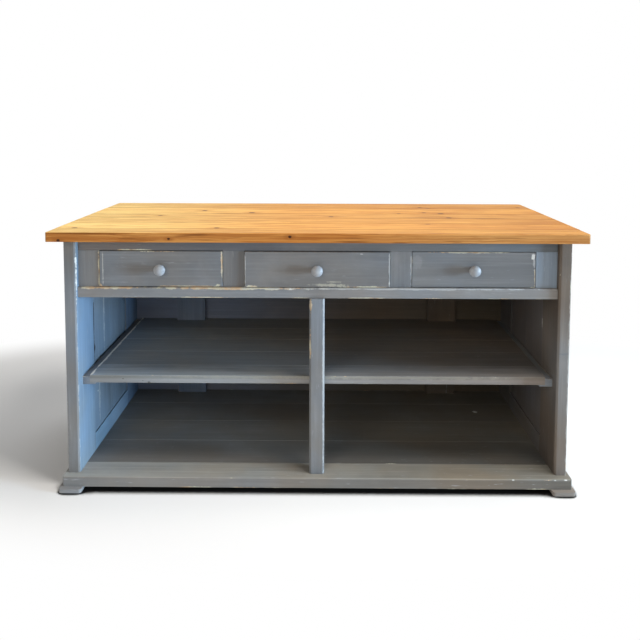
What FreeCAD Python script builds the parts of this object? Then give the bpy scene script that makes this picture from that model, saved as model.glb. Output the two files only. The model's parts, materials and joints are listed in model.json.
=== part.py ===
"""Kitchen island in painted pine: a waxed board top over three drawers and two open bays.

Millimetres. +X runs along the island, -Y is the drawer front and +Z is up. The origin is on
the floor, under the middle of the top. A length that can be chosen is a cell of the sheet
"sizes"; a place that follows from others is a formula in the sheet "places". A box of space is
three pairs of formulas, for x, y and z, and a joint's tongue and its slot share one such box.
"""

import FreeCAD, Part

import os
import re

import Sketcher

SIZES = {
    # worktop
    "top_length": 1808,
    "top_depth": 750,
    "overall_height": 900,
    "top_thickness": 32,
    "top_front_board": 84,
    "top_narrow_board": 119,
    "top_front_corner": 7,
    "top_back_corner": 16,
    "top_edge_round": 3,
    "seam_bevel": 1.2,
    "side_overhang": 43,
    "front_overhang": 45,
    "back_overhang": 15,
    # end frames: two stiles, two rails and a boarded panel each
    "post_width": 40,
    "stile_depth": 150,
    "post_chamfer": 6,
    "end_top_rail": 120,
    "end_bottom_rail": 64,
    "end_tenon": 30,
    "end_tenon_thickness": 12,
    "end_tenon_shoulder": 14,
    "panel_thickness": 18,
    "panel_inset": 5,
    "panel_tongue": 8,
    "panel_tongue_thickness": 8,
    # feet and base
    "foot_thickness": 16,
    "foot_width": 78,
    "foot_depth": 112,
    "foot_corner": 9,
    "foot_round": 5,
    "foot_front_projection": 18,
    "foot_side_projection": 8,
    "foot_back_projection": 8,
    "base_thickness": 34,
    "base_front_board": 95,
    "base_round": 5,
    "base_front_projection": 27,
    "base_side_projection": 12,
    "base_back_projection": 2,
    # middle post
    "centre_post_width": 52,
    "centre_post_depth": 40,
    "centre_tenon": 18,
    "centre_tenon_side": 12,
    "centre_tenon_thickness": 12,
    # drawer frame
    "frieze_recess": 22,
    "frieze_thickness": 25,
    "frieze_rail": 41,
    "frieze_stile": 73,
    "middle_opening": 500,
    "drawer_opening": 126,
    "rail_recess": 12,
    "rail_thickness": 35,
    "rail_depth": 90,
    "rail_round": 3.5,
    "stub_tenon": 12,
    "tenon_shoulder": 8,
    # what the drawers run on, between and against
    "back_rail_depth": 40,
    "runner_ledge": 28,
    "guide_height": 40,
    "stop_width": 40,
    "stop_depth": 20,
    "stop_height": 9,
    "stop_from_middle": 120,
    "stop_clearance": 0.3,
    # drawers, and how far each one was left standing out of its frame
    "drawer_gap": 2,
    "running_gap": 0.3,
    "drawer_front_thickness": 22,
    "drawer_side_thickness": 12,
    "drawer_side_height": 118,
    "drawer_rear_gap": 43,
    "drawer_back_thickness": 12,
    "drawer_back_margin": 8,
    "drawer_back_drop": 6,
    "drawer_bottom_thickness": 8,
    "drawer_bottom_lift": 12,
    "drawer_groove": 6,
    "drawer_housing": 4,
    "shrinkage_gap": 0.5,
    "dovetail_length": 15,
    "dovetail_root": 18,
    "dovetail_flare": 3,
    "dovetail_pitch": 34,
    "left_drawer_proud": 4,
    "middle_drawer_proud": 8,
    "right_drawer_proud": 0,
    # knobs
    "knob_radius": 19.5,
    "knob_collar": 11,
    "knob_spigot": 6,
    "knob_spigot_clearance": 0.1,
    "knob_collar_height": 3,
    "knob_hollow": 11.5,
    "knob_rim_height": 19,
    "knob_rim_thickness": 5,
    "knob_rim_round": 2.2,
    "knob_height": 34,
    # shelf
    "shelf_top": 381,
    "shelf_thickness": 27,
    "shelf_front_board": 95,
    "shelf_round": 3,
    "batten_notch_gap": 4,
    "strip_width": 25,
    "strip_drop": 6,
    "strip_ledge": 20,
    "strip_ledge_thickness": 6,
    "shelf_cleat_height": 35,
    "shelf_bearer_width": 40,
    # back
    "back_thickness": 18,
    "batten_thickness": 25,
    "batten_width": 125,
    "left_batten_place": 570,
    "right_batten_place": 549,
    # nails through the back
    "nail_radius": 1.6,
    "nail_length": 38,
    "nail_margin": 30,
}

PLACES = {
    "half_length": "top_length / 2",
    "top_front": "-top_depth / 2",
    "top_back": "top_depth / 2",
    "top_under": "overall_height - top_thickness",
    "top_wide_board": "(top_depth - top_front_board - 3 * top_narrow_board) / 2",
    "frame_outer": "half_length - side_overhang",
    "frame_inner": "frame_outer - post_width",
    "frame_middle": "frame_outer - post_width / 2",
    "panel_inner": "frame_inner + panel_inset",
    "panel_outer": "panel_inner + panel_thickness",
    "panel_middle": "panel_inner + panel_thickness / 2",
    "post_front": "top_front + front_overhang",
    "post_back": "post_front + stile_depth",
    "back_outer": "top_back - back_overhang",
    "back_inner": "back_outer - back_thickness",
    "back_stile_front": "back_inner - stile_depth",
    "batten_front": "back_inner - batten_thickness",
    "base_top": "foot_thickness + base_thickness",
    "base_front": "post_front - base_front_projection",
    "base_split": "base_front + base_front_board",
    "base_back": "back_outer + base_back_projection",
    "base_outer": "frame_outer + base_side_projection",
    "foot_outer": "base_outer + foot_side_projection",
    "foot_front": "base_front - foot_front_projection",
    "foot_back": "base_back + foot_back_projection",
    "end_rail_under": "top_under - end_top_rail",
    "end_rail_over": "base_top + end_bottom_rail",
    "frieze_face": "post_front + frieze_recess",
    "frieze_back": "frieze_face + frieze_thickness",
    "frieze_under": "top_under - frieze_rail",
    "rail_top": "frieze_under - drawer_opening",
    "rail_under": "rail_top - rail_thickness",
    "rail_front": "post_front + rail_recess",
    "rail_back": "rail_front + rail_depth",
    "back_rail_front": "batten_front - back_rail_depth",
    "closed_front_back": "frieze_face + drawer_front_thickness",
    "drawer_length": "batten_front - drawer_rear_gap - closed_front_back",
    "middle_edge": "middle_opening / 2",
    "side_edge": "middle_edge + frieze_stile",
    "outer_edge": "frame_inner - frieze_stile",
    "centre_half": "centre_post_width / 2",
    "centre_back": "post_front + centre_post_depth",
    "centre_tenon_half": "centre_half - centre_tenon_side",
    "centre_tenon_front": "rail_front + tenon_shoulder",
    "centre_tenon_back": "centre_tenon_front + centre_tenon_thickness",
    "shelf_under": "shelf_top - shelf_thickness",
    "shelf_end": "frame_inner - strip_width",
    "shelf_split": "centre_back + shelf_front_board",
    "cleat_under": "shelf_under - shelf_cleat_height",
    "bearer_half": "shelf_bearer_width / 2",
    "left_batten_low": "-left_batten_place - batten_width / 2",
    "left_batten_high": "-left_batten_place + batten_width / 2",
    "right_batten_low": "right_batten_place - batten_width / 2",
    "right_batten_high": "right_batten_place + batten_width / 2",
}

TOP_NARROW_BOARDS = 3
TOP_WIDE_BOARDS = 2
BASE_REAR_BOARDS = 4
SHELF_REAR_BOARDS = 4
BACK_BOARDS = 5
DOVETAILS = 3
SIDES = {"left": -1, "right": 1}

document = FreeCAD.newDocument("kitchen_island")
nodes = []


# ---------------------------------------------------------------- sheets and formulas

def full(text):
    """The formula with the sheet's name set before each size or place in it."""
    def owned(match):
        word = match.group(0)
        return f"sizes.{word}" if word in SIZES else f"places.{word}"
    return re.sub(r"[a-z][a-z_]+", owned, text)


def value(text):
    return float(sizes.evalExpression(full(text)))


def bind(item, name, text):
    item.setExpression(name, full(text))


sizes = document.addObject("Spreadsheet::Sheet", "sizes")
for row, (alias, number) in enumerate(SIZES.items(), start=1):
    sizes.set(f"A{row}", alias)
    sizes.set(f"B{row}", str(number))
    sizes.setAlias(f"B{row}", alias)

places = document.addObject("Spreadsheet::Sheet", "places")
for row, (alias, text) in enumerate(PLACES.items(), start=1):
    places.set(f"A{row}", alias)
    places.set(f"B{row}", "=" + full(text).replace("places.", ""))
    places.setAlias(f"B{row}", alias)
document.recompute()


# ---------------------------------------------------------------- boxes of space

def between(low, high, inset="0"):
    """The pair from low to high, drawn in by the inset at both."""
    return (f"({low}) + ({inset})", f"({high}) - ({inset})")


def about(middle, half):
    return (f"({middle}) - ({half})", f"({middle}) + ({half})")


def sided(side, low, high):
    """The pair on the right, or its mirror image on the left."""
    if side > 0:
        return (low, high)
    return (f"-({high})", f"-({low})")


def share(low, high, index, count):
    """One of the equal parts from low to high, counted from 0."""
    step = f"(({high}) - ({low})) / {count}"
    return (f"({low}) + {index} * {step}", f"({low}) + {index + 1} * {step}")


def place_box(item, x, y, z, corner=("0", "0", "0")):
    """Bind a box's place, measured from the corner, and its three sizes."""
    for axis, size, pair, start in zip("xyz", ("Length", "Width", "Height"), (x, y, z), corner):
        bind(item, f"Placement.Base.{axis}", f"({pair[0]}) - ({start})")
        bind(item, size, f"({pair[1]}) - ({pair[0]})")


# ---------------------------------------------------------------- kinds of piece

class Board:
    """A sawn piece in a body of its own, placed at the lowest corner of its blank."""

    def __init__(self, name, x, y, z):
        self.body = document.addObject("PartDesign::Body", name)
        self.corner = (x[0], y[0], z[0])
        for axis, start in zip("xyz", self.corner):
            bind(self.body, f"Placement.Base.{axis}", start)
        self.add(x, y, z)

    def feature(self, kind, name):
        return self.body.newObject(f"PartDesign::{kind}", f"{self.body.Name}_{name}")

    def add(self, x, y, z):
        place_box(self.feature("AdditiveBox", "part"), x, y, z, self.corner)

    def cut(self, x, y, z):
        place_box(self.feature("SubtractiveBox", "slot"), x, y, z, self.corner)

    def tail(self, kind, x, y, middle):
        """A dovetail, or with a subtractive kind its socket: wide at the front, narrow behind."""
        wedge = self.feature(kind, "dovetail")
        left, front, under = self.corner
        root = "dovetail_root / 2"
        spread = f"{root} + dovetail_flare"
        limits = {
            "Xmin": f"({x[0]}) - ({left})",
            "X2min": f"({x[0]}) - ({left})",
            "Xmax": f"({x[1]}) - ({left})",
            "X2max": f"({x[1]}) - ({left})",
            "Ymin": f"({y[0]}) - ({front})",
            "Ymax": f"({y[1]}) - ({front})",
            "Zmin": f"({middle}) - ({under}) - ({spread})",
            "Zmax": f"({middle}) - ({under}) + ({spread})",
            "Z2min": f"({middle}) - ({under}) - {root}",
            "Z2max": f"({middle}) - ({under}) + {root}",
        }
        for name, text in limits.items():
            bind(wedge, name, text)

    def bore(self, radius, x, y, z):
        """A round hole along Y, through the pair y, about the point x, z."""
        hole = self.feature("SubtractiveCylinder", "bore")
        hole.Placement = FreeCAD.Placement(FreeCAD.Vector(), FreeCAD.Rotation(FreeCAD.Vector(1, 0, 0), -90))
        left, front, under = self.corner
        bind(hole, "Placement.Base.x", f"({x}) - ({left})")
        bind(hole, "Placement.Base.y", f"({y[0]}) - ({front})")
        bind(hole, "Placement.Base.z", f"({z}) - ({under})")
        bind(hole, "Radius", radius)
        bind(hole, "Height", f"({y[1]}) - ({y[0]})")

    def ease(self, kind, size, *corners):
        """Round (Fillet) or bevel (Chamfer) the edges that lie in both faces of each corner."""
        document.recompute()
        base = self.body.Tip
        names = [name for corner in corners for name in edges_at(base.Shape, **corner)]
        if not names:
            raise ValueError(f"{self.body.Name} has no edge at {corners}")
        eased = self.feature(kind, "eased")
        eased.Base = (base, names)
        bind(eased, {"Fillet": "Radius", "Chamfer": "Size"}[kind], size)


def edges_at(shape, **faces):
    """Names of the edges that lie in every named face of the shape's box, such as x="low"."""
    close = 1e-5
    box = shape.BoundBox
    limits = {"x": (box.XMin, box.XMax), "y": (box.YMin, box.YMax), "z": (box.ZMin, box.ZMax)}

    def lies_in(edge, axis, end):
        target = limits[axis][0 if end == "low" else 1]
        return all(abs(getattr(vertex.Point, axis) - target) < close for vertex in edge.Vertexes)

    return [f"Edge{number}" for number, edge in enumerate(shape.Edges, start=1)
            if all(lies_in(edge, axis, end) for axis, end in faces.items())]


def plain(name, x, y, z):
    """A square-cut piece with no joints."""
    item = document.addObject("Part::Box", name)
    place_box(item, x, y, z)
    return item


def node(name, *items):
    """Name one sub-part: a single piece, or several that lie apart or side by side."""
    objects = [item.body if isinstance(item, Board) else item for item in items]
    if len(objects) > 1:
        group = document.addObject("Part::Compound", name)
        group.Links = objects
        objects = [group]
    objects[0].Label = name
    nodes.append(objects[0])
    return objects[0]


# ---------------------------------------------------------------- worktop

def worktop():
    x = ("-half_length", "half_length")
    z = ("top_under", "overall_height")
    edges = ["top_front", "top_front + top_front_board"]
    for index in range(TOP_NARROW_BOARDS):
        edges.append(f"top_front + top_front_board + {index + 1} * top_narrow_board")
    for index in range(TOP_WIDE_BOARDS):
        edges.append(f"top_back - {TOP_WIDE_BOARDS - 1 - index} * top_wide_board")
    last = len(edges) - 1
    for index, y in enumerate(zip(edges, edges[1:]), start=1):
        board = Board(f"top_board_{index}", x, y, z)
        if index == 1:
            board.ease("Fillet", "top_front_corner", {"x": "low", "y": "low"}, {"x": "high", "y": "low"})
            board.ease("Fillet", "top_edge_round", {"y": "low", "z": "high"})
        if index == last:
            board.ease("Fillet", "top_back_corner", {"x": "low", "y": "high"}, {"x": "high", "y": "high"})
            board.ease("Fillet", "top_edge_round", {"y": "high", "z": "high"})
        seams = [{"y": end, "z": "high"} for end, outer in (("low", 1), ("high", last)) if index != outer]
        board.ease("Chamfer", "seam_bevel", *seams)
        node(f"worktop_board_{index}", board)


# ---------------------------------------------------------------- end frames

def end_rail_tenons(side, z):
    """The front and the back tenon of an end rail, as they stand in the stiles."""
    x = sided(side, "frame_middle - end_tenon_thickness / 2", "frame_middle + end_tenon_thickness / 2")
    inset = between(*z, "end_tenon_shoulder")
    front = (x, ("post_back - end_tenon", "post_back"), inset)
    back = (x, ("back_stile_front", "back_stile_front + end_tenon"), inset)
    return front, back


def panel_space(side):
    """The space of the panel's tongue, all round, in the four pieces that hold it."""
    x = sided(side, "panel_middle - panel_tongue_thickness / 2", "panel_middle + panel_tongue_thickness / 2")
    y = between("post_back", "back_stile_front", "-panel_tongue")
    z = between("end_rail_over", "end_rail_under", "-panel_tongue")
    return x, y, z


def frieze_rail_tenon(side):
    return (sided(side, "frame_inner", "frame_inner + stub_tenon"),
            between("frieze_face", "frieze_back", "tenon_shoulder"),
            between("frieze_under", "top_under", "tenon_shoulder"))


def drawer_rail_tenon(side):
    return (sided(side, "frame_inner", "frame_inner + stub_tenon"),
            between("rail_front", "rail_back", "tenon_shoulder"),
            between("rail_under", "rail_top", "tenon_shoulder"))


def back_rail_tenon(side, z):
    return (sided(side, "frame_inner", "frame_inner + stub_tenon"),
            between("back_rail_front", "batten_front", "tenon_shoulder"),
            between(*z, "tenon_shoulder"))


TOP_RAIL = ("frieze_under", "top_under")
LOW_RAIL = ("rail_under", "rail_top")
END_TOP_RAIL = ("end_rail_under", "top_under")
END_BOTTOM_RAIL = ("base_top", "end_rail_over")


def end_frame(word, side):
    x = sided(side, "frame_inner", "frame_outer")
    z = ("base_top", "top_under")
    inner = "low" if side > 0 else "high"

    front = Board(f"end_{word}_front", x, ("post_front", "post_back"), z)
    front.ease("Chamfer", "post_chamfer", {"x": inner, "y": "low"})
    back = Board(f"end_{word}_back", x, ("back_stile_front", "back_inner"), z)
    for rail in (END_TOP_RAIL, END_BOTTOM_RAIL):
        front_tenon, back_tenon = end_rail_tenons(side, rail)
        front.cut(*front_tenon)
        back.cut(*back_tenon)
    front.cut(*panel_space(side))
    back.cut(*panel_space(side))
    front.cut(*frieze_rail_tenon(side))
    front.cut(*drawer_rail_tenon(side))
    for rail in (TOP_RAIL, LOW_RAIL):
        back.cut(*back_rail_tenon(side, rail))
    node(f"end_{word}_front_post", front)
    node(f"end_{word}_back_post", back)

    y = ("post_back", "back_stile_front")
    for name, rail in (("top_rail", END_TOP_RAIL), ("bottom_rail", END_BOTTOM_RAIL)):
        piece = Board(f"end_{word}_{name}_piece", x, y, rail)
        for tenon in end_rail_tenons(side, rail):
            piece.add(*tenon)
        piece.cut(panel_space(side)[0], y, panel_space(side)[2])
        node(f"end_{word}_{name}", piece)

    panel_x = sided(side, "panel_inner", "panel_outer")
    boards = []
    for index in range(2):
        half = share(*y, index, 2)
        board = Board(f"end_{word}_board_{index + 1}", panel_x, half, ("end_rail_over", "end_rail_under"))
        seam = ("high", "low")[index]
        board.ease("Chamfer", "seam_bevel", {"x": "low", "y": seam}, {"x": "high", "y": seam})
        tongue_x, tongue_y, tongue_z = panel_space(side)
        board.add(tongue_x, share(*tongue_y, index, 2), tongue_z)
        boards.append(board)
    node(f"end_{word}_panel", *boards)


# ---------------------------------------------------------------- feet and base

def feet():
    for word, side in SIDES.items():
        x = sided(side, "foot_outer - foot_width", "foot_outer")
        for end, y in (("front", ("foot_front", "foot_front + foot_depth")),
                       ("back", ("foot_back - foot_depth", "foot_back"))):
            foot = Board(f"{end}_{word}_plate", x, y, ("0", "foot_thickness"))
            foot.ease("Fillet", "foot_corner", *[{"x": left, "y": near} for left in ("low", "high")
                                                 for near in ("low", "high")])
            foot.ease("Fillet", "foot_round", {"z": "low"})
            node(f"foot_{end}_{word}", foot)


def bevelled_row(name, x, y, z, count):
    """Boards side by side from front to back, bevelled along their seams on the upper face."""
    row = []
    for index in range(count):
        board = Board(f"{name}_{index + 1}", x, share(*y, index, count), z)
        seams = [{"y": "low", "z": "high"}]
        if index < count - 1:
            seams.append({"y": "high", "z": "high"})
        board.ease("Chamfer", "seam_bevel", *seams)
        row.append(board)
    return row


def centre_tenon(low, high):
    return (("-centre_tenon_half", "centre_tenon_half"), ("centre_tenon_front", "centre_tenon_back"),
            (low, high))


CENTRE_FOOT = ("base_top - centre_tenon", "base_top")
CENTRE_HEAD = ("rail_under", "rail_under + centre_tenon")


def base():
    x = ("-base_outer", "base_outer")
    z = ("foot_thickness", "base_top")
    front = Board("base_front_piece", x, ("base_front", "base_split"), z)
    front.ease("Fillet", "base_round", {"y": "low", "z": "high"}, {"x": "low", "y": "low"},
               {"x": "high", "y": "low"})
    front.ease("Chamfer", "seam_bevel", {"y": "high", "z": "high"})
    front.cut(*centre_tenon(*CENTRE_FOOT))
    rear = bevelled_row("base_rear", x, ("base_split", "base_back"), z, BASE_REAR_BOARDS)
    node("base_front_board", front)
    node("base_boards", *rear)


# ---------------------------------------------------------------- drawer frame

def frieze_stile_tenon(x, z):
    return between(*x, "tenon_shoulder"), between("frieze_face", "frieze_back", "tenon_shoulder"), z


def stile_spans():
    """The four widths between the posts and the drawers, from left to right."""
    return [sided(-1, "outer_edge", "frame_inner"), sided(-1, "middle_edge", "side_edge"),
            sided(1, "middle_edge", "side_edge"), sided(1, "outer_edge", "frame_inner")]


def runner_spans():
    """The same four widths with a ledge under each drawer that runs beside them."""
    spans = stile_spans()
    widened = []
    for index, (left, right) in enumerate(spans):
        left = left if index == 0 else f"({left}) - runner_ledge"
        right = right if index == len(spans) - 1 else f"({right}) + runner_ledge"
        widened.append((left, right))
    return widened


def runner_tenons(x):
    z = between(*LOW_RAIL, "tenon_shoulder")
    inset = between(*x, "tenon_shoulder")
    return ((inset, ("rail_back - stub_tenon", "rail_back"), z),
            (inset, ("back_rail_front", "back_rail_front + stub_tenon"), z))


HEAD_OF_STILE = ("frieze_under", "frieze_under + stub_tenon")
FOOT_OF_STILE = ("rail_top - stub_tenon", "rail_top")


def drawer_frame():
    across = ("-frame_inner", "frame_inner")
    top_rail = Board("frieze_rail_piece", across, ("frieze_face", "frieze_back"), TOP_RAIL)
    low_rail = Board("drawer_rail_piece", across, ("rail_front", "rail_back"), LOW_RAIL)
    low_rail.ease("Fillet", "rail_round", {"y": "low", "z": "high"})
    back_top = Board("back_top_rail_piece", across, ("back_rail_front", "batten_front"), TOP_RAIL)
    back_low = Board("back_low_rail_piece", across, ("back_rail_front", "batten_front"), LOW_RAIL)
    for side in SIDES.values():
        top_rail.add(*frieze_rail_tenon(side))
        low_rail.add(*drawer_rail_tenon(side))
        back_top.add(*back_rail_tenon(side, TOP_RAIL))
        back_low.add(*back_rail_tenon(side, LOW_RAIL))

    for index, x in enumerate(stile_spans(), start=1):
        stile = Board(f"stile_{index}", x, ("frieze_face", "frieze_back"), ("rail_top", "frieze_under"))
        head = frieze_stile_tenon(x, HEAD_OF_STILE)
        foot = frieze_stile_tenon(x, FOOT_OF_STILE)
        stile.add(*head)
        stile.add(*foot)
        top_rail.cut(*head)
        low_rail.cut(*foot)
        node(f"frieze_stile_{index}", stile)

    runners = []
    for index, x in enumerate(runner_spans(), start=1):
        runner = Board(f"runner_{index}", x, ("rail_back", "back_rail_front"), LOW_RAIL)
        front_tenon, back_tenon = runner_tenons(x)
        runner.add(*front_tenon)
        runner.add(*back_tenon)
        low_rail.cut(*front_tenon)
        back_low.cut(*back_tenon)
        runners.append(runner)
    low_rail.cut(*centre_tenon(*CENTRE_HEAD))

    node("frieze_top_rail", top_rail)
    node("drawer_rail", low_rail)
    node("back_top_rail", back_top)
    node("drawer_rail_back", back_low)
    node("drawer_runners", *runners)

    guide_z = ("rail_top", "rail_top + guide_height")
    node("drawer_guides", *[plain(f"guide_{index}", x, ("frieze_back", "batten_front"), guide_z)
                            for index, x in enumerate(stile_spans(), start=1)])
    node("worktop_cleats", *[plain(f"cleat_{index}", x, ("frieze_back", "back_rail_front"), TOP_RAIL)
                             for index, x in enumerate(runner_spans(), start=1)])


def drawer_stops():
    front = "closed_front_back + stop_clearance"
    y = (front, f"{front} + stop_depth")
    z = ("rail_top", "rail_top + stop_height")
    middles = ("-(side_edge + outer_edge) / 2", "0", "(side_edge + outer_edge) / 2")
    stops = []
    for middle in middles:
        for side in SIDES.values():
            x = about(f"{middle} + ({side}) * stop_from_middle", "stop_width / 2")
            stops.append(plain(f"stop_{len(stops) + 1}", x, y, z))
    node("drawer_stops", *stops)


def centre_post():
    post = Board("centre_piece", ("-centre_half", "centre_half"), ("post_front", "centre_back"),
                 ("base_top", "rail_under"))
    post.ease("Chamfer", "post_chamfer", {"x": "low", "y": "low"}, {"x": "high", "y": "low"})
    post.add(*centre_tenon(*CENTRE_FOOT))
    post.add(*centre_tenon(*CENTRE_HEAD))
    post.cut(*bearer_tenon())
    node("centre_post", post)


# ---------------------------------------------------------------- shelf

def bearer_tenon():
    return (between("-bearer_half", "bearer_half", "tenon_shoulder"),
            ("centre_back - stub_tenon", "centre_back"),
            between("cleat_under", "shelf_under", "tenon_shoulder"))


def shelf():
    x = ("-shelf_end", "shelf_end")
    z = ("shelf_under", "shelf_top")
    front = Board("shelf_front_piece", x, ("centre_back", "shelf_split"), z)
    front.ease("Fillet", "shelf_round", {"y": "low", "z": "high"})
    front.ease("Chamfer", "seam_bevel", {"y": "high", "z": "high"})
    rear = bevelled_row("shelf_rear", x, ("shelf_split", "back_inner"), z, SHELF_REAR_BOARDS)
    notch_y = ("batten_front - batten_notch_gap", "back_inner")
    for batten in (("left_batten_low", "left_batten_high"), ("right_batten_low", "right_batten_high")):
        rear[-1].cut(between(*batten, "-batten_notch_gap"), notch_y, z)
    node("shelf_boards", front, *rear)

    bearer = Board("bearer_piece", ("-bearer_half", "bearer_half"), ("centre_back", "back_inner"),
                   ("cleat_under", "shelf_under"))
    bearer.add(*bearer_tenon())
    node("shelf_bearer", bearer)

    strips = []
    for word, side in SIDES.items():
        strip_x = sided(side, "shelf_end", "frame_inner")
        y = ("centre_back", "back_inner")
        under = "shelf_under - strip_ledge_thickness"
        strip = Board(f"strip_{word}", strip_x, y, (under, "shelf_top - strip_drop"))
        strip.add(sided(side, "shelf_end - strip_ledge", "shelf_end"), y, (under, "shelf_under"))
        strips.append(strip)
    node("shelf_end_strips", *strips)

    spans = (("-shelf_end + strip_ledge", "left_batten_low"), ("left_batten_high", "-bearer_half"),
             ("bearer_half", "right_batten_low"), ("right_batten_high", "shelf_end - strip_ledge"))
    node("shelf_cleats", *[plain(f"shelf_cleat_{index}", span, ("batten_front", "back_inner"),
                                 ("cleat_under", "shelf_under"))
                           for index, span in enumerate(spans, start=1)])


# ---------------------------------------------------------------- back

def back():
    z = ("base_top", "top_under")
    battens = [plain("left_batten", ("left_batten_low", "left_batten_high"), ("batten_front", "back_inner"), z),
               plain("right_batten", ("right_batten_low", "right_batten_high"), ("batten_front", "back_inner"), z)]
    node("back_battens", *battens)
    boards = []
    for index in range(BACK_BOARDS):
        board = Board(f"back_board_{index + 1}", ("-frame_outer", "frame_outer"), ("back_inner", "back_outer"),
                      share(*z, index, BACK_BOARDS))
        ends = [end for end, outer in (("low", 0), ("high", BACK_BOARDS - 1)) if index != outer]
        board.ease("Chamfer", "seam_bevel", *[{"y": face, "z": end} for face in ("low", "high") for end in ends])
        boards.append(board)
    node("back_boards", *boards)


# ---------------------------------------------------------------- nails

def back_nails():
    """Two nails for each back board where it crosses a batten or a back stile."""
    columns = ["-frame_middle", "-left_batten_place", "right_batten_place", "frame_middle"]
    nails = []
    for x in columns:
        for index in range(BACK_BOARDS):
            low, high = between(*share("base_top", "top_under", index, BACK_BOARDS), "nail_margin")
            for z in (low, high):
                nail = document.addObject("Part::Cylinder", f"nail_{len(nails) + 1}")
                turn = FreeCAD.Rotation(FreeCAD.Vector(1, 0, 0), 90)
                nail.Placement = FreeCAD.Placement(FreeCAD.Vector(), turn)
                bind(nail, "Placement.Base.x", x)
                bind(nail, "Placement.Base.y", "back_outer")
                bind(nail, "Placement.Base.z", z)
                bind(nail, "Radius", "nail_radius")
                bind(nail, "Height", "nail_length")
                nails.append(nail)
    return node("back_nails", *nails)


def drill(name, nails):
    """Let the nails into a finished sub-part, which keeps its name."""
    item = next(item for item in nodes if item.Label == name)
    item.Label = f"{name}_undrilled"
    drilled = document.addObject("Part::Cut", f"{name}_drilled")
    drilled.Base = item
    drilled.Tool = nails
    nodes[nodes.index(item)] = drilled
    drilled.Label = name


# ---------------------------------------------------------------- drawers

def knob(name, x, y, z):
    """A turned mushroom knob about an axis along Y, whose spigot fills the hole in the front."""
    body = document.addObject("PartDesign::Body", name)
    for axis, place in zip("xyz", (x, y, z)):
        bind(body, f"Placement.Base.{axis}", place)
    sketch = body.newObject("Sketcher::SketchObject", f"{name}_profile")
    plane = next(item for item in body.Origin.OriginFeatures if item.Role == "XY_Plane")
    sketch.AttachmentSupport = [(plane, "")]
    sketch.MapMode = "FlatFace"

    points = [("0", "drawer_front_thickness"), ("knob_spigot", "drawer_front_thickness"),
              ("knob_spigot", "0"), ("knob_collar", "0"), ("knob_collar", "-knob_collar_height"),
              ("knob_radius", "-knob_rim_height"),
              ("knob_radius", "-(knob_rim_height + knob_rim_thickness)"), ("0", "-knob_height")]
    hollow, dome = 4, 6
    spots = [FreeCAD.Vector(value(across), value(along), 0) for across, along in points]
    for index, start in enumerate(spots):
        end = spots[(index + 1) % len(spots)]
        if index in (hollow, dome):
            bulge = -0.25 if index == hollow else 0.2
            square = FreeCAD.Vector(start.y - end.y, end.x - start.x, 0)
            middle = (start + end) * 0.5 + square * bulge
            sketch.addGeometry(Part.Arc(start, middle, end), False)
        else:
            sketch.addGeometry(Part.LineSegment(start, end), False)

    origin, vertical, start_point, end_point, centre_point = -1, -2, 1, 2, 3
    ends = {}
    for index in range(len(points)):
        # an arc that is drawn clockwise keeps its two ends the other way round
        first = sketch.getPoint(index, start_point)
        ends[index] = (start_point, end_point) if first.isEqual(spots[index], 1e-6) else (end_point, start_point)
    for index, (across, along) in enumerate(points):
        before = index - 1 if index else len(points) - 1
        sketch.addConstraint(Sketcher.Constraint("Coincident", before, ends[before][1], index, ends[index][0]))
        if across == "0":
            sketch.addConstraint(Sketcher.Constraint("PointOnObject", index, ends[index][0], vertical))
        else:
            limit = sketch.addConstraint(Sketcher.Constraint(
                "DistanceX", origin, start_point, index, ends[index][0], spots[index].x))
            bind(sketch, f"Constraints[{limit}]", across)
        if along == "0":
            sketch.addConstraint(Sketcher.Constraint("PointOnObject", index, ends[index][0], origin))
        else:
            pair = (origin, start_point, index, ends[index][0])
            if spots[index].y < 0:
                pair = pair[2:] + pair[:2]
                along = along.lstrip("-")
            limit = sketch.addConstraint(Sketcher.Constraint("DistanceY", *pair, abs(spots[index].y)))
            bind(sketch, f"Constraints[{limit}]", along)
    limit = sketch.addConstraint(Sketcher.Constraint("Radius", hollow, value("knob_hollow")))
    bind(sketch, f"Constraints[{limit}]", "knob_hollow")
    sketch.addConstraint(Sketcher.Constraint("PointOnObject", dome, centre_point, vertical))

    turned = body.newObject("PartDesign::Revolution", f"{name}_turned")
    turned.Profile = sketch
    turned.ReferenceAxis = (sketch, ["V_Axis"])
    turned.Angle = 360
    document.recompute()
    rim = [f"Edge{number}" for number, edge in enumerate(turned.Shape.Edges, start=1)
           if not edge.Degenerated and isinstance(edge.Curve, Part.Circle)
           and abs(edge.Curve.Radius - value("knob_radius")) < 1e-4]
    eased = body.newObject("PartDesign::Fillet", f"{name}_rim")
    eased.Base = (turned, rim)
    bind(eased, "Radius", "knob_rim_round")
    return body


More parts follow.
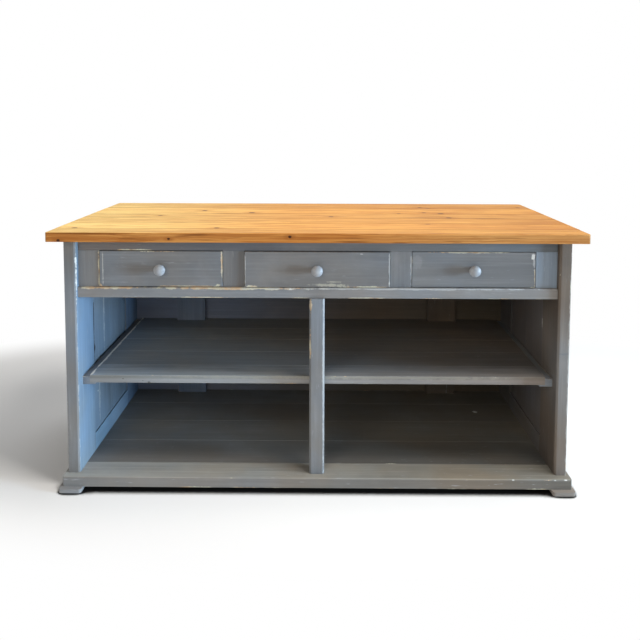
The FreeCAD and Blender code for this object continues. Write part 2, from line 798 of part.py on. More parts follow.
def drawer(word, left, right, proud):
    """One drawer: a thick front, sides dovetailed into it, a back, a bottom and a knob."""
    x = between(left, right, "drawer_gap")
    face = f"frieze_face - {proud}"
    front_back = f"closed_front_back - {proud}"
    end = f"{front_back} + drawer_length"
    under = "rail_top + running_gap"
    over = f"{under} + drawer_side_height"
    bottom_under = f"{under} + drawer_bottom_lift"
    bottom_over = f"{bottom_under} + drawer_bottom_thickness"
    tail_y = (f"{front_back} - dovetail_length", front_back)
    inner = between(*x, "drawer_side_thickness")
    grooves = between(*inner, "-drawer_groove")
    channel = (grooves, (f"{front_back} - drawer_groove", end), (bottom_under, bottom_over))
    back_y = (f"{end} - drawer_back_margin - drawer_back_thickness", f"{end} - drawer_back_margin")
    housing = (between(*inner, "-drawer_housing"), back_y, (bottom_over, f"{over} - drawer_back_drop"))
    tails = [f"{under} + drawer_side_height / 2 + ({index - (DOVETAILS - 1) / 2}) * dovetail_pitch"
             for index in range(DOVETAILS)]

    front = Board(f"{word}_front_piece", x, (face, front_back), between("rail_top", "frieze_under", "drawer_gap"))
    for side_word, side_x in (("left", (x[0], inner[0])), ("right", (inner[1], x[1]))):
        side = Board(f"{word}_{side_word}_piece", side_x, (front_back, end), (under, over))
        for middle in tails:
            side.tail("AdditiveWedge", side_x, tail_y, middle)
            front.tail("SubtractiveWedge", side_x, tail_y, middle)
        side.cut(*channel)
        side.cut(*housing)
        node(f"drawer_{word}_side_{side_word}", side)
    front.cut(*channel)
    knob_x = f"({left} + {right}) / 2"
    knob_z = "(rail_top + frieze_under) / 2"
    front.bore("knob_spigot + knob_spigot_clearance", knob_x, (face, front_back), knob_z)
    node(f"drawer_{word}_front", front)
    node(f"drawer_{word}_back", plain(f"{word}_back_piece", *housing))
    node(f"drawer_{word}_bottom", plain(f"{word}_bottom_piece", between(*grooves, "shrinkage_gap"),
                                        (f"{front_back} - drawer_groove + shrinkage_gap", end),
                                        (bottom_under, bottom_over)))
    node(f"drawer_{word}_knob", knob(f"{word}_knob_piece", knob_x, face, knob_z))


# ---------------------------------------------------------------- the whole

worktop()
for frame_word, frame_side in SIDES.items():
    end_frame(frame_word, frame_side)
feet()
base()
drawer_frame()
drawer_stops()
centre_post()
shelf()
back()
nail_group = back_nails()
for nailed in ("back_boards", "back_battens", "end_left_back_post", "end_right_back_post"):
    drill(nailed, nail_group)
drawer("left", "-outer_edge", "-side_edge", "left_drawer_proud")
drawer("middle", "-middle_edge", "middle_edge", "middle_drawer_proud")
drawer("right", "side_edge", "outer_edge", "right_drawer_proud")
document.recompute()

for item in document.Objects:
    if "Invalid" in item.State or "Error" in item.State:
        raise RuntimeError(f"{item.Label} failed: {item.State}")
for item in nodes:
    if item.Shape.isNull() or not item.Shape.isValid():
        raise RuntimeError(f"{item.Label} has no valid shape")

os.makedirs("parts", exist_ok=True)
for item in nodes:
    item.Shape.exportStep(f"parts/{item.Label}.step")
print(f"{len(nodes)} sub-parts, {sum(len(item.Shape.Solids) for item in nodes)} solids")
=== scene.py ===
"""Looks of the kitchen island: worn grey chalk paint over pine, and a honey waxed board top.

Metres, in the part's own frame: +X along the island, -Y the drawer front, +Z up. Every node of
the part keeps its own shape. Its finish comes from its box and from the board that it is.
"""

import json
import math

import bpy
from mathutils import Matrix, Vector


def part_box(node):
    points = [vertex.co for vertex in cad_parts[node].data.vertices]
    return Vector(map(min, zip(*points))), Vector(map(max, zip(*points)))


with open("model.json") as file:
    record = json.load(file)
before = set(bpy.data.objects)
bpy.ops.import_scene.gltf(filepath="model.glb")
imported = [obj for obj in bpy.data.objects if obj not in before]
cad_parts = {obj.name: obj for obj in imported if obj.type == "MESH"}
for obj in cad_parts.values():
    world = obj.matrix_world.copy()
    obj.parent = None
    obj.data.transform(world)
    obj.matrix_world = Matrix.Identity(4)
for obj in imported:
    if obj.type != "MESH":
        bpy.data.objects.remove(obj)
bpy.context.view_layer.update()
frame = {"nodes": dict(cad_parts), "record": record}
nodes = frame["nodes"]


# ---------------------------------------------------------------- camera

IMAGE = 640
FOCAL_PIXELS = 618.6
AXIS_ROW = 162.0
CAMERA_PLACE = (0.0223, -2.3996, 1.2682)
CAMERA_YAW = -0.374
CAMERA_PITCH = 3.716
CAMERA_ROLL = 0.160
SENSOR = 36.0


def add_camera():
    data = bpy.data.cameras.new("camera")
    data.sensor_width = SENSOR
    data.sensor_fit = "HORIZONTAL"
    data.lens = FOCAL_PIXELS * SENSOR / IMAGE
    data.shift_y = (AXIS_ROW - IMAGE / 2) / IMAGE
    camera = bpy.data.objects.new("camera", data)
    bpy.context.scene.collection.objects.link(camera)
    turn = (Matrix.Rotation(math.radians(-CAMERA_YAW), 4, "Z")
            @ Matrix.Rotation(math.radians(90 - CAMERA_PITCH), 4, "X")
            @ Matrix.Rotation(math.radians(CAMERA_ROLL), 4, "Z"))
    camera.matrix_world = Matrix.Translation(CAMERA_PLACE) @ turn
    bpy.context.scene.camera = camera


# ---------------------------------------------------------------- node graphs

AXES = "xyz"
MIX_COLOUR_INPUTS = (0, 6, 7)
MIX_COLOUR_OUTPUT = 2


class Graph:
    """A material's nodes. Each method adds one node and returns the socket that it gives."""

    def __init__(self, name, roughness=0.5, specular=0.5):
        self.material = bpy.data.materials.new(name)
        self.material.use_nodes = True
        self.tree = self.material.node_tree
        self.tree.nodes.clear()
        self.shader = self.tree.nodes.new("ShaderNodeBsdfPrincipled")
        self.shader.inputs["Roughness"].default_value = roughness
        self.shader.inputs["Specular IOR Level"].default_value = specular
        output = self.tree.nodes.new("ShaderNodeOutputMaterial")
        self.tree.links.new(self.shader.outputs[0], output.inputs[0])
        self.place = self.node("ShaderNodeTexCoord").outputs["Object"]

    def feed(self, socket, value):
        if isinstance(value, bpy.types.NodeSocket):
            self.tree.links.new(value, socket)
        else:
            socket.default_value = value

    def node(self, kind, **settings):
        item = self.tree.nodes.new(kind)
        for name, value in settings.items():
            setattr(item, name, value)
        return item

    def math(self, operation, *values):
        item = self.node("ShaderNodeMath", operation=operation)
        for socket, value in zip(item.inputs, values):
            self.feed(socket, value)
        return item.outputs[0]

    def vector(self, operation, *values):
        item = self.node("ShaderNodeVectorMath", operation=operation)
        for socket, value in zip(item.inputs, values):
            self.feed(socket, value)
        return item.outputs["Value" if operation == "LENGTH" else "Vector"]

    def parts(self, vector):
        """The X, Y and Z sockets of a vector."""
        item = self.node("ShaderNodeSeparateXYZ")
        self.feed(item.inputs[0], vector)
        return item.outputs

    def mix(self, factor, first, second, blend="MIX"):
        item = self.node("ShaderNodeMix", data_type="RGBA", blend_type=blend)
        for number, value in zip(MIX_COLOUR_INPUTS, (factor, first, second)):
            self.feed(item.inputs[number], value)
        return item.outputs[MIX_COLOUR_OUTPUT]

    def noise(self, stretch, shift, scale, detail, roughness):
        """Noise over the part, squeezed on each axis and moved, so that no two pieces repeat."""
        moved = self.vector("ADD", self.place, shift)
        item = self.node("ShaderNodeTexNoise")
        self.feed(item.inputs["Vector"], self.vector("MULTIPLY", moved, stretch))
        for name, value in (("Scale", scale), ("Detail", detail), ("Roughness", roughness)):
            item.inputs[name].default_value = value
        return item.outputs["Fac"]

    def cloud(self, scale, shift=(0, 0, 0), detail=3.0, roughness=0.55):
        """Noise that is the same every way."""
        return self.noise((1, 1, 1), shift, scale, detail, roughness)

    def grain(self, axis, length, across, shift, detail=3.0, roughness=0.55, scale=1.0):
        """Noise that runs along one axis: few features that way, many across."""
        stretch = tuple(length if name == axis else across for name in AXES)
        return self.noise(stretch, shift, scale, detail, roughness)

    def ramp(self, value, low, high, to_low=0.0, to_high=1.0):
        """A value from low to high, eased at both ends, taken to to_low and to_high."""
        item = self.node("ShaderNodeMapRange", interpolation_type="SMOOTHSTEP")
        for socket, number in zip(item.inputs, (value, low, high, to_low, to_high)):
            self.feed(socket, number)
        return item.outputs[0]

    def blob(self, place, radii, rough, edge):
        """A mask that is 1 inside an ellipsoid with a ragged edge and 0 outside it."""
        offset = self.vector("SUBTRACT", self.place, place)
        away = self.vector("LENGTH", self.vector("DIVIDE", offset, radii))
        return self.ramp(self.math("ADD", away, rough), 1.0 - edge, 1.0 + edge, 1.0, 0.0)

    def bump(self, height, distance, strength=1.0):
        item = self.node("ShaderNodeBump")
        self.feed(item.inputs["Height"], height)
        item.inputs["Distance"].default_value = distance
        item.inputs["Strength"].default_value = strength
        self.feed(self.shader.inputs["Normal"], item.outputs[0])


# ---------------------------------------------------------------- painted pieces

PAINT = (0.210, 0.216, 0.226, 1)
PAINT_LIGHT = (0.300, 0.308, 0.320, 1)
PAINT_DARK = (0.160, 0.165, 0.174, 1)
LOW_WARM_TONE = (0.150, 0.128, 0.100, 1)
UNDERCOAT = (0.62, 0.60, 0.47, 1)
BARE = (0.62, 0.44, 0.27, 1)
# Chalky white for chips and rubbed spots, and also a painted highlight on lit post edges.
CHALK_AND_PAINTED_HIGHLIGHT = (0.72, 0.72, 0.68, 1)
SCUFF = (0.46, 0.47, 0.47, 1)
GAP = (0.02, 0.02, 0.021, 1)
WEAR_WIDTH = 0.0020
WEAR_EDGE = (-0.0003, 0.0005)
LOW_WARM_HEIGHT = 0.62
PAINT_RELIEF = 0.0005


def edge_distance(graph, box):
    """How far a point lies from the nearest edge of the box, on whichever face it is."""
    reach = []
    low, high = box
    for axis, socket in enumerate(graph.parts(graph.place)):
        below = graph.math("SUBTRACT", socket, low[axis])
        above = graph.math("SUBTRACT", high[axis], socket)
        reach.append(graph.math("ABSOLUTE", graph.math("MINIMUM", below, above)))
    lesser = graph.math("MINIMUM", reach[0], reach[1])
    greater = graph.math("MAXIMUM", reach[0], reach[1])
    return graph.math("MAXIMUM", lesser, graph.math("MINIMUM", greater, reach[2]))


def tinted(colour, tone):
    """A colour with its lightness, and its share of red and blue, changed."""
    lightness, blue = tone
    red, green, blueness, alpha = colour
    return (red * lightness * (1 - blue), green * lightness, blueness * lightness * (1 + blue), alpha)


def painted(name, axis, box, seed, tone=(1, 0), worn=0.34, low_warmth=0.5, stroke=0.35, boards=None,
            fade=None, drifts=(), bare=(), marks=()):
    """Brushed chalky paint whose strokes run along axis, rubbed through at the edges.

    tone is the paint's lightness and its shift from red to blue. worn, the next strength and
    stroke are how much the bare edges, the darker and warmer tone towards the bottom and the
    brush strokes show. boards is (axis, start, width) of the boards in one node, which differ a
    little in tone. fade is (axis, from, to, strength) of a lighter stretch. drifts are changes of
    colour along an axis, each (axis, from, to, tint at from, tint at to), and a last entry (axis,
    from, to) keeps one to the side of the piece that lies past it; many of the drifts in FINISHES
    are painted light and painted shade. bare is a list of rubbed places, each (place, radii), and
    marks holds (place, radii, colour, strength).
    """
    graph = Graph(f"paint_{name}", roughness=0.6, specular=0.3)
    shift = (seed * 1.37, seed * 2.11, seed * 0.73)
    strokes = graph.grain(axis, 3.0, 110, shift, detail=4, roughness=0.65)
    broad = graph.grain(axis, 1.6, 12, shift, detail=3)
    cloud = graph.cloud(5.0, shift, detail=4, roughness=0.6)
    hue = graph.cloud(2.7, shift, detail=3)
    ragged = graph.cloud(150.0, shift, detail=3)
    scuff = graph.grain(axis, 22, 160, shift, detail=2)
    places = graph.parts(graph.place)

    colour = graph.mix(graph.ramp(broad, 0.30, 0.70), tinted(PAINT_DARK, tone), tinted(PAINT, tone))
    colour = graph.mix(graph.ramp(strokes, 0.42, 0.75, 0.0, stroke), colour, tinted(PAINT_LIGHT, tone))
    colour = graph.mix(graph.ramp(cloud, 0.46, 0.75, 0.0, 0.45), colour, tinted(PAINT_LIGHT, tone))
    colour = graph.mix(1.0, colour, graph.mix(graph.ramp(hue, 0.36, 0.64), (1.05, 1.0, 0.94, 1),
                                              (0.93, 1.0, 1.07, 1)), "MULTIPLY")
    if boards:
        board_axis, start, board_width = boards
        across = places[AXES.index(board_axis)]
        index = graph.math("DIVIDE", graph.math("SUBTRACT", across, start), board_width)
        index = graph.math("FLOOR", index)
        pick = graph.node("ShaderNodeTexWhiteNoise", noise_dimensions="1D")
        graph.feed(pick.inputs["W"], graph.math("ADD", index, seed * 7.0))
        colour = graph.mix(graph.ramp(pick.outputs["Value"], 0.0, 1.0, 0.0, 0.5), colour,
                           tinted(PAINT_DARK, tone))
    if fade:
        fade_axis, start, end, strength = fade
        lighter_stretch = graph.math("MULTIPLY", graph.ramp(places[AXES.index(fade_axis)], start, end),
                           graph.ramp(strokes, 0.2, 0.8, 0.5, 1.3))
        colour = graph.mix(graph.math("MULTIPLY", lighter_stretch, strength), colour, tinted(PAINT_LIGHT, tone))
    # Darker and warmer towards the bottom, in blotches.
    low_warm_mask = graph.math("MULTIPLY", graph.ramp(places[2], 0.0, LOW_WARM_HEIGHT, 1.0, 0.25),
                      graph.ramp(cloud, 0.3, 0.7, 0.2, 1.0))
    colour = graph.mix(graph.math("MULTIPLY", low_warm_mask, low_warmth), colour, LOW_WARM_TONE)
    for drift_axis, start, end, first, second, *only in drifts:
        slow = graph.ramp(places[AXES.index(drift_axis)], start, end)
        kept = graph.ramp(places[AXES.index(only[0][0])], *only[0][1:]) if only else 1.0
        colour = graph.mix(kept, colour, graph.mix(slow, (*first, 1), (*second, 1)), "MULTIPLY")
    colour = graph.mix(graph.ramp(scuff, 0.66, 0.76, 0.0, 0.5), colour, tinted(PAINT_LIGHT, tone))

    torn = graph.cloud(32.0, shift, detail=2)
    rough = graph.math("ADD", graph.ramp(ragged, 0.25, 0.75, -0.30, 0.30),
                       graph.ramp(torn, 0.3, 0.7, -0.4, 0.4))
    edge = edge_distance(graph, box)
    patch = graph.cloud(9.0, shift, detail=2)
    reach = graph.math("MULTIPLY", graph.ramp(patch, 0.90 - worn, 1.12 - worn), WEAR_WIDTH)
    reach = graph.math("MULTIPLY", reach, graph.ramp(ragged, 0.3, 0.7, 0.1, 1.9))
    rubbed = graph.ramp(graph.math("SUBTRACT", reach, edge), *WEAR_EDGE)
    for place, radii in bare:
        rubbed = graph.math("MAXIMUM", rubbed, graph.blob(place, radii, rough, 0.25))
    layers = graph.cloud(16.0, shift, detail=3)
    wood = graph.mix(graph.ramp(layers, 0.44, 0.58), UNDERCOAT, BARE)
    colour = graph.mix(graph.math("MULTIPLY", rubbed, 0.88), colour, wood)
    for place, radii, mark, strength in marks:
        mask = graph.math("MULTIPLY", graph.blob(place, radii, rough, 0.3), strength)
        colour = graph.mix(mask, colour, mark)
    graph.feed(graph.shader.inputs["Base Color"], colour)
    relief = graph.math("SUBTRACT", graph.math("ADD", strokes, graph.math("MULTIPLY", scuff, 0.5)),
                        graph.math("MULTIPLY", rubbed, 0.6))
    graph.bump(relief, PAINT_RELIEF)
    return graph.material


KNOB = (0.29, 0.31, 0.34, 1)
KNOB_LIGHT = (0.40, 0.42, 0.44, 1)
STEEL = (0.25, 0.24, 0.23, 1)
RUST = (0.16, 0.08, 0.04, 1)


def knob_paint():
    graph = Graph("knob_paint", roughness=0.42, specular=0.5)
    cloud = graph.cloud(55.0, detail=3)
    worn = graph.cloud(140.0, detail=2)
    colour = graph.mix(graph.ramp(cloud, 0.35, 0.7), KNOB, KNOB_LIGHT)
    colour = graph.mix(graph.ramp(worn, 0.70, 0.78, 0.0, 0.6), colour, UNDERCOAT)
    graph.feed(graph.shader.inputs["Base Color"], colour)
    graph.bump(cloud, 0.0003)
    return graph.material


def steel():
    graph = Graph("nail_steel", roughness=0.5)
    graph.shader.inputs["Metallic"].default_value = 1.0
    rust = graph.cloud(400.0)
    graph.feed(graph.shader.inputs["Base Color"], graph.mix(graph.ramp(rust, 0.4, 0.7), STEEL, RUST))
    return graph.material


# ---------------------------------------------------------------- timber

RING = 0.0068
KNOT_HEART = (0.060, 0.020, 0.006, 1)
END_GRAIN = 0.12
SEAM_DIRT = (0.0010, 0.0026)
FRONT_DEPTH = 0.0025
GRAIN_RELIEF = 0.0004


def timber(name, axis, seed, light, dark, knots=(), streaks=(), middle=(0, 0, 0), drifts=(),
           front=None, seams=()):
    """Flat-sawn pine: rings about a pith below the board, with streaks and knots.

    knots and streaks are (place, radii). middle is the board's own middle, which the rings go
    by. drifts are changes of colour along X, each (from, to, tint at from, tint at to); on the
    worktop they are a painted sheen and painted shade. front is (y, stops) of the front edge,
    whose colour is tinted along X, each stop (x, tint). seams holds the y of each joint with a
    neighbouring board, where dirt gathers.
    """
    graph = Graph(f"pine_{name}", roughness=0.6, specular=0.18)
    shift = (seed * 1.91, seed * 0.67, seed * 1.13)
    wander = graph.grain(axis, 0.9, 5, shift, detail=2)
    x, y, z = graph.parts(graph.vector("SUBTRACT", graph.place, middle))
    across, deep = {"x": (y, z), "y": (x, z), "z": (x, y)}[axis]
    across = graph.math("ADD", across, 0.05 * math.sin(seed * 2.9))
    deep = graph.math("ADD", deep, 0.055 + 0.03 * math.sin(seed * 5.3))
    radius = graph.math("SQRT", graph.math("ADD", graph.math("POWER", across, 2.0),
                                           graph.math("POWER", deep, 2.0)))
    radius = graph.math("ADD", radius, graph.math("MULTIPLY", wander, 0.05))
    ring = graph.math("FRACT", graph.math("DIVIDE", radius, RING))
    late = graph.math("MULTIPLY", graph.ramp(ring, 0.30, 0.97), graph.ramp(ring, 0.97, 1.0, 1.0, 0.0))
    streak = graph.grain(axis, 2.8, 58, shift, detail=4, roughness=0.6)
    pale = graph.grain(axis, 2.6, 90, shift, detail=3, roughness=0.6, scale=1.2)
    crack = graph.grain(axis, 6.0, 150, shift, detail=2)
    band = graph.grain(axis, 0.7, 11, shift, detail=2)
    fine = graph.grain(axis, 9, 700, shift, detail=2)
    cloud = graph.cloud(3.0, shift, detail=3)

    facing = graph.parts(graph.node("ShaderNodeTexCoord").outputs["Normal"])[AXES.index(axis)]
    long_side = graph.ramp(graph.math("ABSOLUTE", facing), 0.5, 0.8, 1.0, END_GRAIN)

    def on_sides(mask):
        """The mask, kept weak on the board's sawn ends."""
        return graph.math("MULTIPLY", mask, long_side)

    colour = graph.mix(graph.math("MULTIPLY", late, 0.5), light, dark)
    colour = graph.mix(graph.ramp(band, 0.40, 0.66, 0.0, 0.55), colour, dark)
    colour = graph.mix(on_sides(graph.ramp(streak, 0.50, 0.60, 0.0, 0.70)), colour, dark)
    colour = graph.mix(graph.ramp(cloud, 0.45, 0.72, 0.0, 0.35), colour, light)
    colour = graph.mix(on_sides(graph.ramp(pale, 0.53, 0.62, 0.0, 0.65)), colour, tinted(light, (1.30, 0.1)))
    colour = graph.mix(on_sides(graph.ramp(crack, 0.59, 0.64, 0.0, 0.6)), colour, tinted(dark, (0.60, 0)))
    colour = graph.mix(graph.ramp(long_side, 0.0, 1.0, 0.45, 0.0), colour, tinted(dark, (0.9, 0)))
    colour = graph.mix(graph.ramp(fine, 0.4, 0.7, 0.0, 0.2), colour, dark)
    rough = graph.ramp(fine, 0.2, 0.8, -0.2, 0.2)
    for place, radii in streaks:
        colour = graph.mix(graph.math("MULTIPLY", graph.blob(place, radii, rough, 0.6), 0.8), colour,
                           tinted(dark, (0.55, 0)))
    for place, radii in knots:
        halo = tuple(3.2 * radius if index == AXES.index(axis) else 2.0 * radius
                     for index, radius in enumerate(radii))
        colour = graph.mix(graph.math("MULTIPLY", graph.blob(place, halo, rough, 0.5), 0.5), colour,
                           tinted(dark, (0.85, 0)))
        colour = graph.mix(graph.blob(place, radii, rough, 0.2), colour, KNOT_HEART)
    here = graph.parts(graph.place)
    for seam in seams:
        near = graph.math("ABSOLUTE", graph.math("SUBTRACT", here[1], seam))
        dirty = graph.math("MULTIPLY", graph.ramp(near, *SEAM_DIRT, 0.85, 0.0),
                           graph.ramp(cloud, 0.3, 0.6, 0.6, 1.0))
        colour = graph.mix(dirty, colour, tinted(dark, (0.35, 0)))
    plain = colour
    for start, end, first, second in drifts:
        tint = graph.mix(graph.ramp(here[0], start, end), (*first, 1), (*second, 1))
        colour = graph.mix(1.0, colour, tint, "MULTIPLY")
    if front:
        edge, stops = front
        front_band = graph.ramp(here[1], edge, edge + FRONT_DEPTH, 1.0, 0.0)
        tint = stops[0][1]
        for (start, _), (end, following) in zip(stops, stops[1:]):
            tint = graph.mix(graph.ramp(here[0], start, end), tint, following)
        colour = graph.mix(front_band, colour, graph.mix(1.0, plain, tint, "MULTIPLY"))
    graph.feed(graph.shader.inputs["Base Color"], colour)
    graph.bump(graph.math("ADD", graph.math("MULTIPLY", late, 0.4), fine), GRAIN_RELIEF, 0.6)
    return graph.material


# ---------------------------------------------------------------- dressing the part

WELD_REACH = 0.00001
EASE_WIDTH = 0.0011
EASE_SEGMENTS = 2
EASE_ANGLE = 40
MARK_DEPTH = 0.004


def finish(name, material):
    materials = nodes[name].data.materials
    materials.clear()
    materials.append(material)


def soften(name):
    """Ease a piece's sharp edges, as sanding and paint do."""
    item = nodes[name]
    item.modifiers.new("weld", "WELD").merge_threshold = WELD_REACH
    bevel = item.modifiers.new("eased", "BEVEL")
    bevel.width = EASE_WIDTH
    bevel.segments = EASE_SEGMENTS
    bevel.limit_method = "ANGLE"
    bevel.angle_limit = math.radians(EASE_ANGLE)


def spot(x, y, z, along_x, along_z=None, deep=MARK_DEPTH):
    """A mark on a face that looks along Y: its place and its radii."""
    return (x, y, z), (along_x, deep, along_z or along_x)


def flat_spot(x, y, z, along_x, along_y=None, deep=MARK_DEPTH):
    """A mark on a face that looks up: its place and its radii."""
    return (x, y, z), (along_x, along_y or along_x, deep)


def wall_spot(x, y, z, along_y, along_z=None):
    """A mark on a face that looks along X: its place and its radii."""
    return (x, y, z), (MARK_DEPTH, along_y, along_z or along_y)


def mark(colour, strength, *spots):
    """The same paint mark, or bruise, at several places."""
    return [(place, radii, colour, strength) for place, radii in spots]


# Finishes are given in the part's own places. These are the faces that most marks lie on.
TOP = 0.900
TOP_FRONT = -0.375
FRIEZE = -0.308
LEFT_DRAWER = -0.312
MIDDLE_DRAWER = -0.316
RAIL_EDGE = -0.316
RAIL = -0.318
SHELF_FRONT = -0.290
SHELF_NOSE = (-0.2886, -0.2898)
BASE_FRONT = -0.357
WALL = 0.826
LEFT_INSIDE = (-0.8235, -0.8215)
BACK_INSIDE = (0.345, 0.3435)
PLAIN = (1.0, 1.0, 1.0)

# The worktop: knots and streaks are (x, y, size) on its top, and (x, z, size) on its front edge.
HONEY = (0.66, 0.345, 0.092, 1)
AMBER = (0.40, 0.160, 0.030, 1)
FRONT_EDGE_TINTS = [(-0.50, (0.88, 0.71, 0.62, 1)), (0.02, (0.78, 0.56, 0.40, 1)), (0.60, (0.94, 0.88, 0.98, 1))]
# Painted light: a pale, bluish painted sheen at the worktop's left end, painted shade to the right.
TOP_PAINTED_SHEEN_AND_SHADE = [(-0.95, -0.05, (1.37, 1.88, 2.65), (1.0, 0.98, 0.86)),
              (-0.10, 0.80, PLAIN, (0.76, 0.73, 0.76))]
KNOTS = [(-0.471, 0.141, 0.011), (-0.269, 0.088, 0.013), (-0.617, -0.002, 0.009), (-0.349, -0.276, 0.010),
         (-0.840, -0.286, 0.010), (0.051, -0.013, 0.010), (0.436, 0.254, 0.010), (0.466, 0.222, 0.011),
         (0.429, 0.103, 0.009), (0.493, 0.077, 0.013), (0.323, 0.073, 0.008), (0.504, -0.030, 0.012),
         (0.398, -0.175, 0.010), (0.860, 0.262, 0.009)]
STREAKS = [(0.42, -0.031, 0.10), (0.66, -0.039, 0.07), (-0.366, 0.072, 0.055)]
FRONT_KNOTS = [(-0.859, 0.873, 0.006), (-0.492, 0.880, 0.005), (-0.090, 0.888, 0.006)]
FRONT_STREAKS = [(-0.410, 0.893, 0.045), (0.12, 0.872, 0.06), (-0.78, 0.897, 0.12)]
WORKTOP_BOARDS = 6
WORKTOP_SEAMS = 0.37
BOARD_TONES = 0.08


def dress_worktop():
    """Finish the worktop's boards, the first of which carries the front edge."""
    for index in range(1, WORKTOP_BOARDS + 1):
        name = f"worktop_board_{index}"
        low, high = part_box(name)
        middle = [(a + b) / 2 for a, b in zip(low, high)]
        knots = [flat_spot(x, y, TOP, size, size * 0.8, 0.02)
                 for x, y, size in KNOTS if low[1] < y < high[1]]
        streaks = [flat_spot(x, y, TOP, size, 0.007, 0.01)
                   for x, y, size in STREAKS if low[1] < y < high[1]]
        front = None
        if index == 1:
            front = (TOP_FRONT, FRONT_EDGE_TINTS)
            knots += [spot(x, TOP_FRONT, z, size, size * 0.7) for x, z, size in FRONT_KNOTS]
            streaks += [spot(x, TOP_FRONT, z, size, 0.003) for x, z, size in FRONT_STREAKS]
        tone = (1.0 + BOARD_TONES * math.sin(index * 4.1), 0)
        seams = [edge for edge in (low[1], high[1]) if abs(edge) < WORKTOP_SEAMS]
        finish(name, timber(name, "x", index, tinted(HONEY, tone), tinted(AMBER, tone), knots, streaks,
                            middle=middle, drifts=TOP_PAINTED_SHEEN_AND_SHADE, front=front, seams=seams))
        soften(name)


PINE = (0.62, 0.42, 0.22, 1)
PINE_DARK = (0.50, 0.31, 0.145, 1)
UPRIGHT = {"end_left_front_post", "end_left_back_post", "end_right_front_post", "end_right_back_post",
           "end_left_panel", "end_right_panel", "centre_post", "frieze_stile_1", "frieze_stile_2",
           "frieze_stile_3", "frieze_stile_4", "back_battens"}
DEEP = {"end_left_top_rail", "end_left_bottom_rail", "end_right_top_rail", "end_right_bottom_rail",
        "shelf_bearer", "shelf_end_strips", "drawer_left_side_left", "drawer_left_side_right",
        "drawer_middle_side_left", "drawer_middle_side_right", "drawer_right_side_left",
        "drawer_right_side_right", "drawer_guides", "drawer_runners"}
MANY_BOARDS = {"back_boards": ("z", 0.05, 0.1636), "base_boards": ("y", -0.262, 0.156),
               "shelf_boards": ("y", -0.195, 0.13425), "end_left_panel": ("y", -0.006, 0.186),
               "end_right_panel": ("y", -0.006, 0.186)}
SHARP = set(MANY_BOARDS) | {"back_battens", "shelf_end_strips", "shelf_cleats", "drawer_guides",
                            "drawer_runners", "drawer_stops", "worktop_cleats", "back_nails"}
# Painted light: the inner faces of the left end turn lighter and bluer, for the blue daylight on them.
PAINTED_BLUE_LIGHT_INSIDE = ("x", *LEFT_INSIDE, PLAIN, (0.94, 1.26, 1.60))
